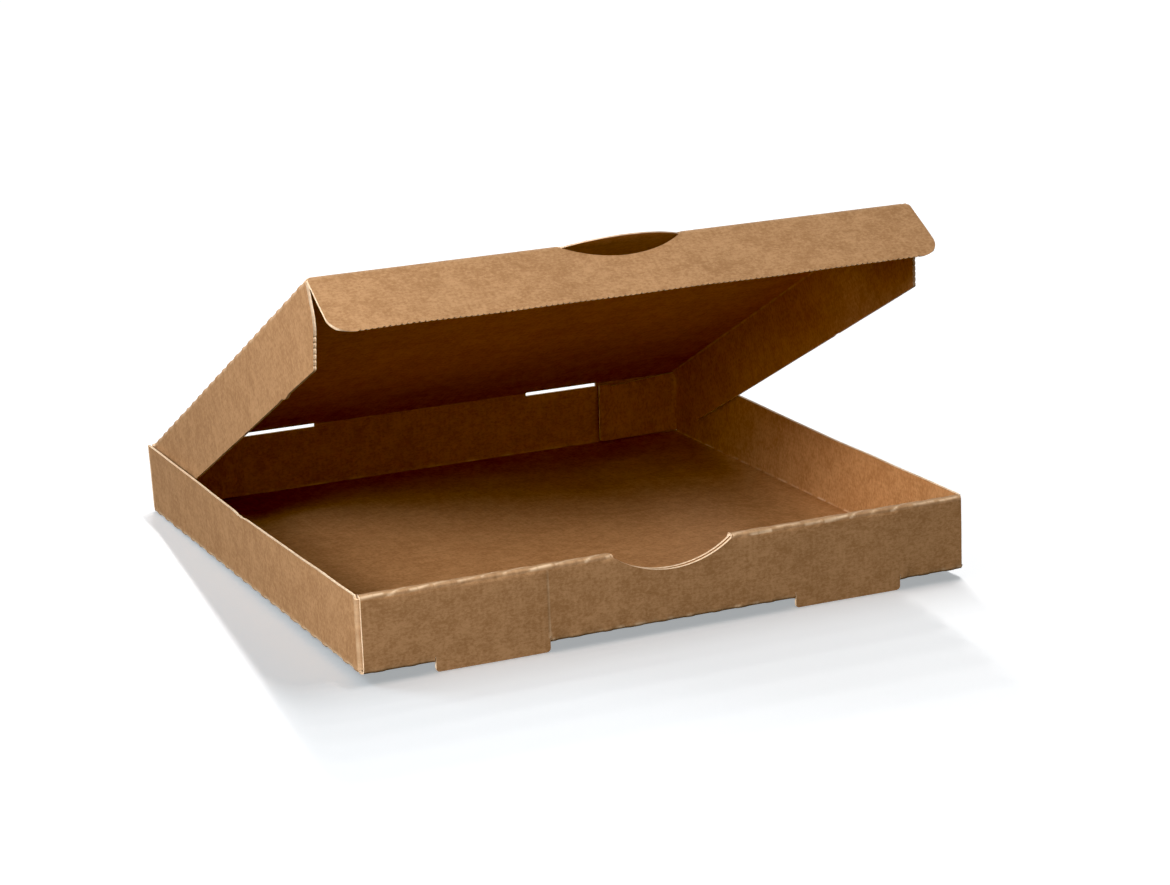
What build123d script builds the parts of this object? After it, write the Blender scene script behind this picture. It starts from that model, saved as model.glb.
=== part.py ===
from build123d import *
import math
import os

# Pizza box of plain kraft corrugated board: one die-cut sheet folded into a
# tray with a rolled-over front wall, a hinged lid and three lid flaps.
# Modelled standing on a table with the lid part open. X runs to the right,
# Y from the front to the back, Z up. Millimetres and degrees.

# ---- driving dimensions -------------------------------------------------
W = 356.0            # tray width, outside
D = 366.0            # tray depth, outside
H = 42.0             # tray wall height, outside
T = 1.6              # board thickness
GAP = 0.15           # gap between boards that lie against each other
R_FOLD = 1.4         # outside radius of a fold at the floor and corners
R_RIM = 1.4          # outside radius of the front wall's rolled rim

FOOT_DROP = 5.0      # how far the two feet reach below the floor
FOOT_IN = 72.0       # feet, nearer end from the middle
FOOT_OUT = 137.0     # feet, farther end from the middle
FOOT_R = 2.0         # feet, corner radius
FLOOR_SLOT = 4.0     # slot in the floor behind each foot

SCOOP_W = 74.0       # finger scoop in the front wall, width at the rim
SCOOP_D = 13.0       # finger scoop, depth

FRONT_CORNER = 105.0  # corner flap folded into the front wall, length
BACK_CORNER = 57.5   # corner flap folded against the back wall, length
BACK_CORNER_TOP = 39.0

SLOT_IN = 71.5       # relief slots on the lid crease, nearer end
SLOT_OUT = 120.5     # relief slots, farther end
SLOT_WALL = 1.8      # relief slot, part cut from the back wall
SLOT_LID = 1.8       # relief slot, part cut from the lid

LID_L = 348.0        # lid panel, crease to crease
LID_X = 174.2        # lid panel, half width between the side creases
FLAP_F = 43.0        # front flap, crease to free edge
FLAP_F_R = 13.0      # front flap, corner radius
MOON_W = 71.0        # thumb tab and its cut-out, width at the crease
MOON_D = 12.0        # thumb tab and its cut-out, depth
MOON_GAP = 0.4       # room between thumb tab and cut-out

SIDE_S0 = 4.0        # side flap, start of its crease from the lid crease
SIDE_S1 = 346.6      # side flap, end of its crease
SIDE_BACK = (20.0, 38.2)      # side flap, lower back corner (along, across)
SIDE_BEND = (345.4, 22.0)     # side flap, where its front edge turns
SIDE_FRONT = (335.0, 43.0)    # side flap, lower front corner

LID_OPEN = 26.6      # lid opening from the floor plane, as modelled
FLAP_FOLD = 58.0     # front flap's fold from the lid plane, as modelled
Y_SHIFT = -0.26      # puts the origin under the middle of the whole box

# ---- derived ------------------------------------------------------------
HX = W / 2
HY = D / 2
YP = HY - T                       # lid crease, on the inside of the board
ZP = H - T
YF = YP - LID_L                   # front flap crease with the lid laid flat
TILT = math.degrees(math.atan(FOOT_DROP / (2 * YP)))   # stands on its feet
Y_OUT = -HY + T                   # inside of the outer front board
Y_CF = Y_OUT + GAP                # front corner flap, outer face
Y_IN0 = Y_OUT + T + 0.5           # inner front board, hidden face
Y_IN1 = Y_IN0 + T                 # inner front board, face seen inside
Y_CB = HY - T - GAP               # back corner flap, face to the back wall
X_END = HX - 0.5                  # ends of the front and back walls
X_ROLL = HX - T - 0.2             # ends of the rolled part of the front wall


def outline(points, radii=None):
    """Closed face through the points, with the named corners rounded."""
    radii = radii or {}
    pts = [Vector(*p) for p in points]
    n = len(pts)
    enter, leave, mid = [], [], []
    for i, p in enumerate(pts):
        r = radii.get(i, 0)
        if not r:
            enter.append(p)
            leave.append(p)
            mid.append(None)
            continue
        u = (pts[i - 1] - p).normalized()
        v = (pts[(i + 1) % n] - p).normalized()
        half = math.radians(u.get_angle(v)) / 2
        c = p + (u + v).normalized() * (r / math.sin(half))
        enter.append(p + u * (r / math.tan(half)))
        leave.append(p + v * (r / math.tan(half)))
        mid.append(c + (p - c).normalized() * r)
    edges = []
    for i in range(n):
        if mid[i] is not None:
            edges.append(Edge.make_three_point_arc(enter[i], mid[i], leave[i]))
        edges.append(Edge.make_line(leave[i], enter[(i + 1) % n]))
    return Face(Wire(edges))


def block(x0, x1, y0, y1, z0, z1):
    return Pos((x0 + x1) / 2, (y0 + y1) / 2, (z0 + z1) / 2) * Box(
        x1 - x0, y1 - y0, z1 - z0)


def along_x(face, x0, x1):
    return Pos(x0, 0, 0) * extrude(face, amount=x1 - x0, dir=(1, 0, 0))


def segment_radius(width, depth):
    return (width * width / 4 + depth * depth) / (2 * depth)


# ---- tray: one folded sheet ----------------------------------------------
y_u = Y_CB - T - 0.2
floor_and_sides = Pos(0, -y_u, 0) * extrude(
    outline([(-HX, 0, 0), (HX, 0, 0), (HX, 0, H), (HX - T, 0, H),
             (HX - T, 0, T), (-HX + T, 0, T), (-HX + T, 0, H), (-HX, 0, H)],
            {0: R_FOLD, 1: R_FOLD}),
    amount=2 * y_u, dir=(0, 1, 0))
tray = floor_and_sides

# front wall: outer board, rolled rim and inner board
roll = outline(
    [(0, -HY, 0), (0, -HY, H), (0, Y_IN1, H), (0, Y_IN1, T + 0.2),
     (0, Y_IN0, T + 0.2), (0, Y_IN0, H - T), (0, Y_OUT, H - T),
     (0, Y_OUT, T), (0, -y_u + 0.15, T), (0, -y_u + 0.15, 0)],
    {0: R_FOLD, 1: R_RIM, 2: R_RIM})
tray += along_x(roll, -X_ROLL, X_ROLL)
outer = outline([(0, -HY, 0), (0, -HY, H), (0, Y_OUT, H), (0, Y_OUT, 0)],
                {0: R_FOLD, 1: R_RIM})
tray += along_x(outer, -X_END, -X_ROLL)
tray += along_x(outer, X_ROLL, X_END)

# back wall, up to the lid crease
back = outline([(0, HY, 0), (0, HY, ZP), (0, YP, ZP), (0, YP, T),
                (0, y_u - 0.15, T), (0, y_u - 0.15, 0)], {0: R_FOLD})
tray += along_x(back, -X_ROLL, X_ROLL)
back_end = outline([(0, HY, 0), (0, HY, ZP), (0, YP, ZP), (0, YP, 0)],
                   {0: R_FOLD})
tray += along_x(back_end, -X_END, -X_ROLL)
tray += along_x(back_end, X_ROLL, X_END)

# corner flaps, folded in from the ends of the side walls
for side in (-1, 1):
    front_flap = outline(
        [(side * HX, Y_CF, 0), (side * (HX - FRONT_CORNER), Y_CF, 0),
         (side * (HX - FRONT_CORNER), Y_CF + T, 0),
         (side * (HX - T), Y_CF + T, 0),
         (side * (HX - T), Y_CF + 8, 0), (side * HX, Y_CF + 8, 0)],
        {0: R_FOLD})
    tray += Pos(0, 0, T + 0.3) * extrude(
        front_flap, amount=H - T - 0.25 - (T + 0.3), dir=(0, 0, 1))
    back_flap = outline(
        [(side * HX, Y_CB, 0), (side * (HX - BACK_CORNER), Y_CB, 0),
         (side * (HX - BACK_CORNER), Y_CB - T, 0),
         (side * (HX - T), Y_CB - T, 0),
         (side * (HX - T), Y_CB - 8, 0), (side * HX, Y_CB - 8, 0)],
        {0: R_FOLD})
    tray += Pos(0, 0, T + 0.3) * extrude(
        back_flap, amount=BACK_CORNER_TOP - (T + 0.3), dir=(0, 0, 1))

# feet on the outer front board, slots behind them, tabs of the inner board
for side in (-1, 1):
    a, b = sorted((side * FOOT_IN, side * FOOT_OUT))
    tray -= block(a, b, Y_OUT, Y_OUT + FLOOR_SLOT, -1, T + 0.1)
    foot = outline([(a, -HY, -FOOT_DROP), (b, -HY, -FOOT_DROP),
                    (b, -HY, R_FOLD + 1), (a, -HY, R_FOLD + 1)],
                   {0: FOOT_R, 1: FOOT_R})
    tray += extrude(foot, amount=T, dir=(0, 1, 0))
    tray += block(a + 2, b - 2, Y_IN0, Y_IN1, 0.3, T + 1)

# finger scoop through the rolled front wall
r_scoop = segment_radius(SCOOP_W, SCOOP_D)
tray -= Pos(0, (-HY + Y_IN1) / 2, H - SCOOP_D + r_scoop) * (
    Rot(90, 0, 0) * Cylinder(r_scoop, 20))

# relief slots under the lid crease
for side in (-1, 1):
    a, b = sorted((side * SLOT_IN, side * SLOT_OUT))
    tray -= block(a, b, YP - 0.05, HY + 1, ZP - SLOT_WALL, ZP + 1)

# ---- lid panel, drawn closed flat ----------------------------------------
lid = block(-LID_X, LID_X, YF, YP, ZP, ZP + T)
for side in (-1, 1):
    # outside round of the side creases
    quarter = Pos(side * LID_X, (YF + YP) / 2, ZP) * (
        Rot(90, 0, 0) * Cylinder(T, LID_L))
    keep = block(*sorted((side * LID_X, side * (LID_X + 2 * T))),
                 YF - 1, YP + 1, ZP, ZP + 2 * T)
    lid += quarter & keep
    a, b = sorted((side * SLOT_IN, side * SLOT_OUT))
    lid -= block(a, b, YP - SLOT_LID, YP + 1, ZP - 1, ZP + T + 1)
r_moon = segment_radius(MOON_W, MOON_D)
moon = Pos(0, YF - MOON_D + r_moon, ZP + T / 2) * Cylinder(r_moon, T)
lid += moon & block(-MOON_W, MOON_W, YF - 2 * MOON_D, YF + 1, ZP, ZP + T)

# ---- front flap, drawn flat in line with the lid --------------------------
x_f = LID_X + T
front = extrude(
    outline([(-x_f, YF - 0.05, ZP), (-x_f, YF - FLAP_F, ZP),
             (x_f, YF - FLAP_F, ZP), (x_f, YF - 0.05, ZP)],
            {1: FLAP_F_R, 2: FLAP_F_R}),
    amount=T, dir=(0, 0, 1))
front -= Pos(0, YF - MOON_D + r_moon, ZP + T / 2) * Cylinder(
    r_moon + MOON_GAP, 3 * T)

# ---- side flaps, drawn hanging square from the closed lid -----------------
side_flaps = {}
for name, side in (("lid_left_flap", -1), ("lid_right_flap", 1)):
    pts = [(SIDE_S0, 0.05), (SIDE_S1, 0.05), SIDE_BEND, SIDE_FRONT, SIDE_BACK]
    face = outline([(side * LID_X, YP - s, ZP - w) for s, w in pts],
                   {2: 20.0, 3: 1.5, 4: 1.5})
    side_flaps[name] = extrude(face, amount=T, dir=(side, 0, 0))

# ---- fold to the modelled pose and stand on the feet ----------------------
lid_crease = Axis((0, YP, ZP), (1, 0, 0))
flap_crease = Axis((0, YF, ZP), (1, 0, 0))
heel = Axis((0, YP, 0), (1, 0, 0))


def stand(shape):
    return Pos(0, Y_SHIFT, 0) * shape.rotate(heel, -TILT)


parts = {
    "base_tray": stand(tray),
    "lid_panel": stand(lid.rotate(lid_crease, -LID_OPEN)),
    "lid_front_flap": stand(
        front.rotate(flap_crease, FLAP_FOLD).rotate(lid_crease, -LID_OPEN)),
}
for name, shape in side_flaps.items():
    parts[name] = stand(shape.rotate(lid_crease, -LID_OPEN))

os.makedirs("parts", exist_ok=True)
for name, shape in parts.items():
    solid = shape if isinstance(shape, Solid) else shape.solid()
    export_step(solid, "parts/%s.step" % name)
    bb = solid.bounding_box()
    print(name, len(shape.solids()), round(solid.volume, 1),
          [round(v, 3) for v in (*bb.min, *bb.max)])
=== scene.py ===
import math

import bpy
import numpy as np
from mathutils import Matrix, Vector
from mathutils.geometry import delaunay_2d_cdt


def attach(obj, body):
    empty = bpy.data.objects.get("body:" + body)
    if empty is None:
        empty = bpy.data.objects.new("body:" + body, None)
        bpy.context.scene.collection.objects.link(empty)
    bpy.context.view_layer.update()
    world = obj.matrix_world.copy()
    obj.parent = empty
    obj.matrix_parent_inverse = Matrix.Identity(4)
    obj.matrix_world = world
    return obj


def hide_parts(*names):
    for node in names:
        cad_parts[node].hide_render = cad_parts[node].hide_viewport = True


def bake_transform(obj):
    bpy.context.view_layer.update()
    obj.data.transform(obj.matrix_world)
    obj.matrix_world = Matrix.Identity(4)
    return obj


# A plain kraft pizza box, folded from one die-cut sheet of fine-flute board.
# Every panel is laid out flat with its real outline, meshed on both liners,
# given cut edges with liners and fluting, and then folded into place.

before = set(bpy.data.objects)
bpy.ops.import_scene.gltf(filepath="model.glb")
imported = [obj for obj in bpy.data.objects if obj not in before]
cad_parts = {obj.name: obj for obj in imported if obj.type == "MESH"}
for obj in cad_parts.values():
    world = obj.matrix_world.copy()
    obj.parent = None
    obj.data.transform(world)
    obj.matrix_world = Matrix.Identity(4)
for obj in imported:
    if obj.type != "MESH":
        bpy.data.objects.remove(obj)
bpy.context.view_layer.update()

# ---- sizes, mm and degrees, as in the part ---------------------------------
W, D, H, T = 356.0, 366.0, 42.0, 1.6
HX, HY = W / 2, D / 2
YP, ZP = HY - T, H - T
Y_SHIFT = -0.26
TILT = math.atan(5.0 / (2 * YP))
LID_L, LID_X, FLAP_F, FLAP_F_R = 348.0, 174.2, 43.0, 13.0
LID_OPEN, FLAP_FOLD = math.radians(26.6), math.radians(58.0)
MOON_W, MOON_D = 71.0, 12.0
SLOT_IN, SLOT_OUT, SLOT_CUT = 71.5, 120.5, 1.8
FOOT_IN, FOOT_OUT, FOOT_DROP = 72.0, 137.0, 5.0
SCOOP_W, SCOOP_D = 74.0, 13.0
FLUTE = 3.2          # pitch of the fluting
LINER, MEDIUM = 0.24, 0.2
RI = 0.35            # inside radius of the fixed folds
RC = 0.25            # inside radius of the moving creases
SEAM = 1.2           # where the pieces of one sheet meet, beside a crease
QUARTER = math.pi / 2


def segment_radius(width, depth):
    return (width * width / 4 + depth * depth) / (2 * depth)


def ease(a, b, x):
    t = np.clip((np.asarray(x, float) - a) / (b - a), 0, 1)
    return t * t * (3 - 2 * t)


def ripple(a, b, seed, size):
    """Smooth seeded waves, about -1 to 1, that repeat about every size mm."""
    r = np.random.default_rng(seed)
    out = 0
    for _ in range(7):
        ang, f, ph = r.uniform(0, 2 * math.pi), r.uniform(0.6, 1.7), r.uniform(0, 7)
        out = out + np.sin((a * math.cos(ang) + b * math.sin(ang)) * f * 2 * math.pi / size + ph)
    return out / 3.2


def dashes(x, pitch, share, seed, soft=0.7):
    """1 along each cut of a cut-and-crease line, 0 on the bridges between."""
    r = np.random.default_rng(seed)
    x = np.asarray(x, float)
    out = np.zeros_like(x)
    at = -420.0
    while at < 420.0:
        a = at + r.uniform(-1.2, 1.2)
        b = a + pitch * share + r.uniform(-2.0, 2.0)
        out = np.maximum(out, ease(a - soft, a + soft, x) * (1 - ease(b - soft, b + soft, x)))
        at += pitch
    return out


def chain(t, n, start, psi, turn, segs):
    """Follows a folded strip: t along its inner liner, n out through the board."""
    t, n = np.asarray(t, float), np.asarray(n, float)
    out = np.zeros((len(t), 2))
    p, t0 = np.array(start, float), 0.0
    for k, seg in enumerate(segs):
        first, last = k == 0, k == len(segs) - 1
        length = seg[1] if seg[0] == "f" else seg[1] * seg[2]
        sel = ((t >= t0) | first) & ((t < t0 + length) | last)
        if seg[0] == "f":
            d = np.array([math.cos(psi), math.sin(psi)])
            inn = turn * np.array([-math.sin(psi), math.cos(psi)])
            out[sel] = p + (t[sel] - t0)[:, None] * d - n[sel][:, None] * inn
            p = p + length * d
        else:
            ang, r = seg[1], seg[2]
            c = p + r * turn * np.array([-math.sin(psi), math.cos(psi)])
            a = psi + turn * (t[sel] - t0) / r
            inn = turn * np.stack([-np.sin(a), np.cos(a)], 1)
            out[sel] = c - (r + n[sel])[:, None] * inn
            psi += turn * ang
            p = c - r * turn * np.array([-math.sin(psi), math.cos(psi)])
        t0 += length
    return out


def stood(p):
    """From the level tray's frame, mm, to the box standing on its feet, m."""
    c, s = math.cos(-TILT), math.sin(-TILT)
    y, z = p[:, 1] - YP, p[:, 2]
    return np.stack([p[:, 0], YP + y * c - z * s + Y_SHIFT, y * s + z * c], 1) * 0.001


def lid_frame(x, s, h):
    """x across, s forward from the lid crease, h out from the inner liner."""
    c, sn = math.cos(LID_OPEN), math.sin(LID_OPEN)
    return np.stack([x, YP - s * c + h * sn, ZP + s * sn + h * c], 1)


# ---- meshing of a flat outline ----------------------------------------------
def inside(pts, loops):
    hit = np.zeros(len(pts), bool)
    for loop in loops:
        a, b = loop, np.roll(loop, -1, 0)
        for i in range(0, len(pts), 1500):
            q = pts[i:i + 1500]
            y = q[:, 1][:, None]
            up = (a[:, 1] > y) != (b[:, 1] > y)
            dy = np.where(b[:, 1] == a[:, 1], 1.0, b[:, 1] - a[:, 1])
            xs = a[:, 0] + (y - a[:, 1]) * (b[:, 0] - a[:, 0]) / dy
            hit[i:i + 1500] ^= ((up & (q[:, 0][:, None] < xs)).sum(1) % 2).astype(bool)
    return hit


def far_from(pts, others, gap):
    keep = np.ones(len(pts), bool)
    if len(others) == 0:
        return keep
    for i in range(0, len(pts), 600):
        d = ((pts[i:i + 600][:, None] - others[None]) ** 2).sum(2).min(1)
        keep[i:i + 600] = d > gap * gap
    return keep


def arc(cx, cy, r, a0, a1, n):
    return [(cx + r * math.cos(a), cy + r * math.sin(a)) for a in np.linspace(a0, a1, n)]


def rounded(points, radii):
    """Corner rounding of an open run of points; radii by index."""
    out = []
    for i, p in enumerate(points):
        r = radii.get(i, 0)
        if not r:
            out.append(p)
            continue
        p, a, b = (np.array(q, float) for q in (p, points[i - 1], points[(i + 1) % len(points)]))
        u, v = (a - p) / np.linalg.norm(a - p), (b - p) / np.linalg.norm(b - p)
        half = math.acos(float(np.clip(u @ v, -1, 1))) / 2
        c = p + (u + v) / np.linalg.norm(u + v) * (r / math.sin(half))
        e, l = p + u * r / math.tan(half), p + v * r / math.tan(half)
        a0, a1 = math.atan2(*(e - c)[::-1]), math.atan2(*(l - c)[::-1])
        while a1 - a0 > math.pi:
            a1 -= 2 * math.pi
        while a1 - a0 < -math.pi:
            a1 += 2 * math.pi
        out += arc(c[0], c[1], r, a0, a1, max(4, int(r * abs(a1 - a0) / 1.2) + 2))
    return out


def kinds(points, kind):
    return [(float(x), float(y), kind) for x, y in points]


def sample(loop, levels, step=3.0, fine=0.45, seam_step=1.5):
    """Subdivides a closed loop: finely where the cut crosses the flutes, and at fold lines."""
    pts, tags = [], []
    n = len(loop)
    for i in range(n):
        x0, y0, kind = loop[i]
        x1, y1, _ = loop[(i + 1) % n]
        dx, dy = x1 - x0, y1 - y0
        if math.hypot(dx, dy) < 1e-9:
            continue
        if kind == "cut":
            k = max(math.ceil(abs(dx) / fine), math.ceil(math.hypot(dx, dy) / step), 1)
        else:
            k = max(math.ceil(math.hypot(dx, dy) / seam_step - 1e-9), 1)
        ts = set(np.linspace(0, 1, k + 1)[:-1].round(9))
        for axis, values in levels:
            a, d = ((x0, dx), (y0, dy))[axis]
            if abs(d) > 1e-9:
                for v in values:
                    f = (v - a) / d
                    if 1e-6 < f < 1 - 1e-6:
                        near = [q for q in ts if abs(q - f) * math.hypot(dx, dy) < 0.02 and q > 0]
                        for q in near:
                            ts.discard(q)
                        ts.add(round(f, 9))
        for f in sorted(ts):
            pts.append((x0 + dx * f, y0 + dy * f))
            tags.append(kind)
    return np.array(pts), tags


class Board:
    """Collects the meshed panels of one piece of the sheet."""

    def __init__(self, name):
        self.name = name
        self.co, self.blank, self.wear, self.side = [], [], [], []
        self.faces, self.mat, self.open = [], [], set()
        self.count = 0

    def add(self, world, blank, wear, side):
        base = self.count
        self.co.append(world)
        self.blank.append(blank)
        self.wear.append(wear)
        self.side.append(np.full(len(world), side, float) if np.isscalar(side) else side)
        self.count += len(world)
        return base

    def panel(self, loops, fold, rows=(), levels=(), spacing=5.0, wear=None, shift=(0, 0), flip_blank=(1, 1)):
        """loops: closed outlines in flat coordinates, first the outside; fold(p, n) gives the stood place."""
        wear = wear or (lambda p, n: np.zeros(len(p)))
        sampled = [sample(l, levels) for l in loops]
        outline = [s[0] for s in sampled]
        signed = []
        for k, o in enumerate(outline):
            a = 0.5 * float(np.sum(o[:, 0] * np.roll(o[:, 1], -1) - np.roll(o[:, 0], -1) * o[:, 1]))
            tags = sampled[k][1]
            if (a > 0) != (k == 0):
                o = o[::-1].copy()
                tags = list(reversed(tags))
                tags = tags[1:] + tags[:1]
            signed.append((o, tags))
        outline = [s[0] for s in signed]
        border = np.concatenate(outline)
        rows = np.concatenate([np.asarray(r, float) for r in rows]) if len(rows) else np.zeros((0, 2))
        if len(rows):
            rows = rows[inside(rows, outline)]
            rows = rows[far_from(rows, border, 0.35)]
        lo, hi = border.min(0), border.max(0)
        gx, gy = np.meshgrid(np.arange(lo[0] + spacing / 2, hi[0], spacing), np.arange(lo[1] + spacing / 2, hi[1], spacing * 0.87))
        gx[1::2] += spacing / 2
        grid = np.stack([gx.ravel(), gy.ravel()], 1)
        grid = grid[inside(grid, outline)]
        grid = grid[far_from(grid, border, spacing * 0.45)]
        grid = grid[far_from(grid, rows, spacing * 0.45)]
        pts = np.concatenate([border, rows, grid])
        edges, at = [], 0
        for o in outline:
            edges += [(at + i, at + (i + 1) % len(o)) for i in range(len(o))]
            at += len(o)
        v, _, tris, orig, _, _ = delaunay_2d_cdt([Vector(p) for p in pts], edges, [], 0, 1e-6)
        v = np.array([(p[0], p[1]) for p in v])
        where = {}
        for new, olds in enumerate(orig):
            for old in olds:
                where[old] = new
        tris = np.array([t for t in tris if len(t) == 3])
        # keep what the outline encloses, region by region
        fixed = {tuple(sorted((where[a], where[b]))) for a, b in edges}
        parent = list(range(len(tris)))

        def root(i):
            while parent[i] != i:
                parent[i] = parent[parent[i]]
                i = parent[i]
            return i

        owner = {}
        for k, t in enumerate(tris.tolist()):
            for e in ((t[0], t[1]), (t[1], t[2]), (t[2], t[0])):
                e = tuple(sorted(e))
                if e in fixed:
                    continue
                if e in owner:
                    parent[root(k)] = root(owner[e])
                else:
                    owner[e] = k
        area = np.cross(v[tris[:, 1]] - v[tris[:, 0]], v[tris[:, 2]] - v[tris[:, 0]])
        inn = inside(v[tris].mean(1), outline)
        score = {}
        for k in range(len(tris)):
            r = root(k)
            score[r] = score.get(r, 0.0) + abs(area[k]) * (1 if inn[k] else -1)
        keep = np.array([score[root(k)] > 1e-3 for k in range(len(tris))])
        tris, area = tris[keep], area[keep]
        tris[area < 0] = tris[area < 0][:, ::-1]
        used = np.zeros(len(v), bool)
        used[tris.ravel()] = True
        if not all(used[where[i]] for i in range(len(border))):
            print("outline point unused in", self.name)

        def flat_uv(p, n):
            return np.stack([p[:, 0] * flip_blank[0] + shift[0], p[:, 1] * flip_blank[1] + shift[1], n], 1)

        zero, full = np.zeros(len(v)), np.full(len(v), T)
        inner = self.add(fold(v, zero), flat_uv(v, zero), wear(v, zero), 0.0)
        outer = self.add(fold(v, full), flat_uv(v, full), wear(v, full), 1.0)
        # handedness of the fold: which way round the faces go
        c = grid[len(grid) // 2] if len(grid) else v.mean(0)
        e = 0.01
        q = np.array([c, c + (e, 0), c + (0, e), c])
        w = fold(q, np.array([0.5, 0.5, 0.5, 0.5 + e]))
        right = float(np.dot(np.cross(w[1] - w[0], w[2] - w[0]), w[3] - w[0])) > 0
        up = tris if right else tris[:, ::-1]
        self.faces += [tuple(outer + t) for t in up]
        self.mat += [0] * len(up)
        self.faces += [tuple(inner + t) for t in up[:, ::-1]]
        self.mat += [1] * len(up)
        # cut edges
        at = 0
        for o, tags in signed:
            n = len(o)
            idx = [where[at + i] for i in range(n)]
            at += n
            d = np.roll(o, -1, 0) - o
            nr = np.stack([d[:, 1], -d[:, 0]], 1)
            nr /= np.maximum(np.linalg.norm(nr, axis=1), 1e-9)[:, None]
            length = np.linalg.norm(d, axis=1)
            nr = nr * np.minimum(length, 1.0)[:, None]
            sm = sum(np.roll(nr, k, 0) for k in (-1, 0, 1, 2))
            sm /= np.maximum(np.linalg.norm(sm, axis=1), 1e-9)[:, None]
            straight = np.array([tags[i] != "cut" or tags[i - 1] != "cut" for i in range(n)])
            bu = flat_uv(o, np.zeros(n))[:, 0]
            amp = T / 2 - LINER - MEDIUM / 2 - 0.03
            m = T / 2 + amp * np.sin(2 * math.pi * bu / FLUTE)
            jag = 0.05 * ripple(o[:, 0], o[:, 1], 5, 2.3)
            deep = 0.14
            profile = [(np.full(n, LINER), np.maximum(jag, -0.03) * 0), (np.full(n, LINER + 0.01), np.full(n, deep)),
                       (m - MEDIUM / 2 - 0.008, np.full(n, deep)), (m - MEDIUM / 2, 0.08 + np.abs(jag)),
                       (m + MEDIUM / 2, 0.08 + np.abs(jag)), (m + MEDIUM / 2 + 0.008, np.full(n, deep)),
                       (np.full(n, T - LINER - 0.01), np.full(n, deep)), (np.full(n, T - LINER), np.zeros(n))]
            cols = [inner + np.array(idx)]
            for k, (nn, dep) in enumerate(profile):
                nn = np.where(straight, T * (k + 1) / 9.0, nn)
                dep = np.where(straight, 0.0, dep)
                p = o - sm * dep[:, None]
                cols.append(self.add(fold(p, nn), flat_uv(p, nn), wear(p, nn), 0.5) + np.arange(n))
            cols.append(outer + np.array(idx))
            for i in range(n):
                j = (i + 1) % n
                if tags[i] == "open":
                    for c in cols:
                        self.open.update((int(c[i]), int(c[j])))
                    continue
                for k in range(len(cols) - 1):
                    f = (cols[k][i], cols[k][j], cols[k + 1][j], cols[k + 1][i])
                    self.faces.append(tuple(int(x) for x in (f if right else f[::-1])))
                    self.mat.append(2)

    def build(self, materials):
        co, blank = np.concatenate(self.co), np.concatenate(self.blank)
        wear, side = np.concatenate(self.wear), np.concatenate(self.side)
        # panels of one piece share the vertices of their common fold
        remap, seen = np.arange(len(co)), {}
        for i in sorted(self.open):
            key = tuple(np.round(co[i] * 1e6).astype(int))
            hit = None
            for dx in (-1, 0, 1):
                for dy in (-1, 0, 1):
                    for dz in (-1, 0, 1):
                        hit = hit if hit is not None else seen.get((key[0] + dx, key[1] + dy, key[2] + dz))
            if hit is None:
                seen[key] = i
            else:
                remap[i] = hit
        faces, mat = [], []
        for f, m in zip(self.faces, self.mat):
            g = []
            for x in f:
                y = int(remap[x])
                if y not in g:
                    g.append(y)
            if len(g) >= 3:
                faces.append(g)
                mat.append(m)
        used = np.zeros(len(co), bool)
        for f in faces:
            used[f] = True
        new = np.cumsum(used) - 1
        faces = [[int(new[x]) for x in f] for f in faces]
        co, blank, wear, side = co[used], blank[used], wear[used], side[used]
        mesh = bpy.data.meshes.new(self.name)
        mesh.from_pydata(co.tolist(), [], faces)
        mesh.polygons.foreach_set("material_index", np.array(mat, np.int32))
        mesh.polygons.foreach_set("use_smooth", np.array([m < 2 for m in mat]))
        a = mesh.attributes.new("blank", "FLOAT_VECTOR", "POINT")
        a.data.foreach_set("vector", blank.astype(np.float32).ravel())
        a = mesh.attributes.new("wear", "FLOAT", "POINT")
        a.data.foreach_set("value", np.clip(wear, 0, 1).astype(np.float32))
        for m in materials:
            mesh.materials.append(m)
        mesh.update()
        mesh.set_sharp_from_angle(angle=math.radians(38))
        obj = bpy.data.objects.new(self.name, mesh)
        bpy.context.scene.collection.objects.link(obj)
        count = {}
        for f in faces:
            for i in range(len(f)):
                e = (min(f[i], f[i - 1]), max(f[i], f[i - 1]))
                count[e] = count.get(e, 0) + 1
        loose = sum(1 for v in count.values() if v != 2)
        tri = sum(len(f) - 2 for f in faces)
        print("PIECE", self.name, "vertices", len(co), "triangles", tri, "edges not shared by two faces", loose)
        return obj


def lattice(along, across, axis):
    """Rows of points: along runs with the fold, across holds the row positions."""
    a, c = np.meshgrid(along, across)
    return np.stack([a.ravel(), c.ravel()] if axis == 0 else [c.ravel(), a.ravel()], 1)


def steps(a, b, n):
    return list(np.linspace(a, b, n + 1))


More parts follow.
